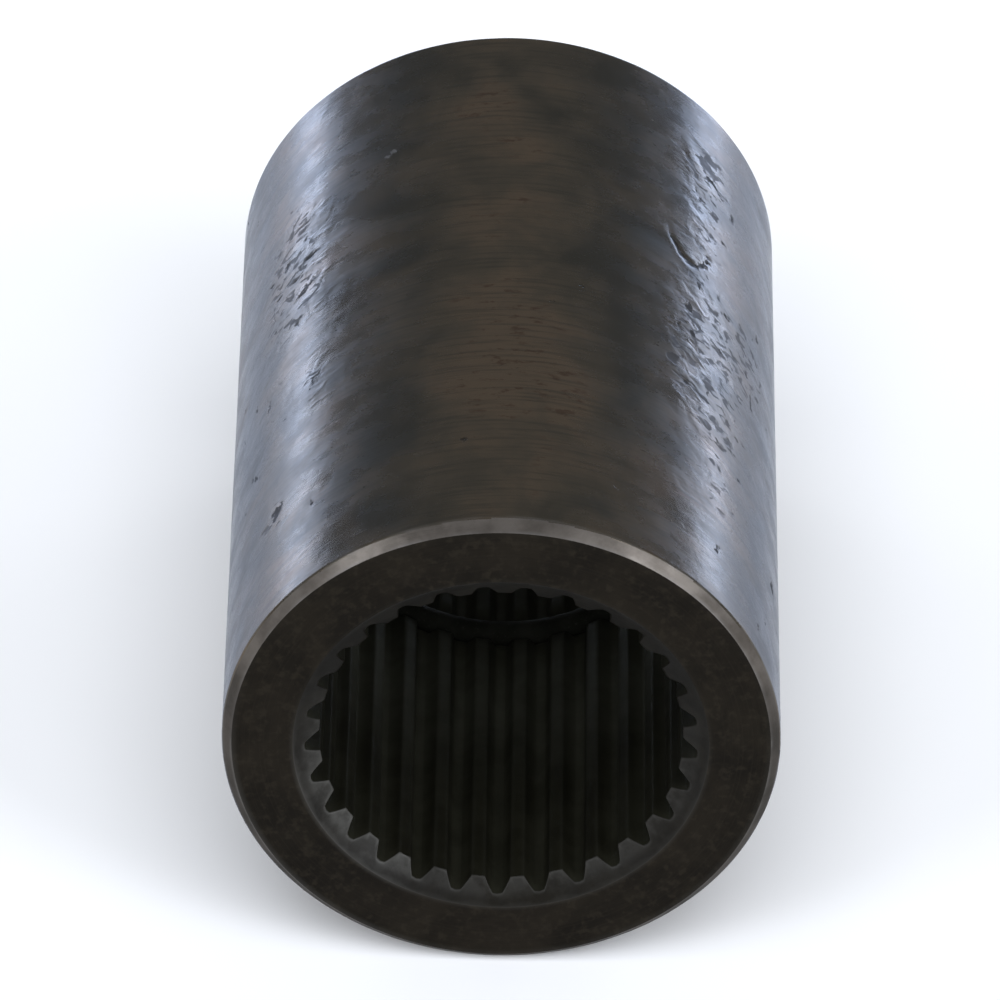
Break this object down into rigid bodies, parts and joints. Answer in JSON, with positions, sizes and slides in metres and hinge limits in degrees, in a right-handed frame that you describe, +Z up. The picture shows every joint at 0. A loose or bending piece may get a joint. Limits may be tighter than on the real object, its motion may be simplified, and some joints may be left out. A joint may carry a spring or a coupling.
{
  "type": "rigid sleeve coupling",
  "caption": "Rigid sleeve coupling: a straight steel sleeve with an internally splined through bore, chamfered ends and a stop ring at mid-length, joining two shafts end to end.",
  "frame": {"origin": "on the shaft axis at mid-length, which is the centre of the bounding box", "axes": "+Y along the shaft axis, +Z up with a tooth on it and a tooth space on -Z, front end face towards -Y"},
  "size_m": [0.0546, 0.0826, 0.0546],
  "materials": {
    "sleeve_steel": "brown-black oxide and oil on as-rolled stock, pitted and scratched outside, turned on the ends",
    "ring_steel": "black phosphated spring steel"
  },
  "bodies": {
    "root": {"coupling_sleeve": "sleeve_steel", "centre_stop_ring": "ring_steel"}
  },
  "joints": []
}
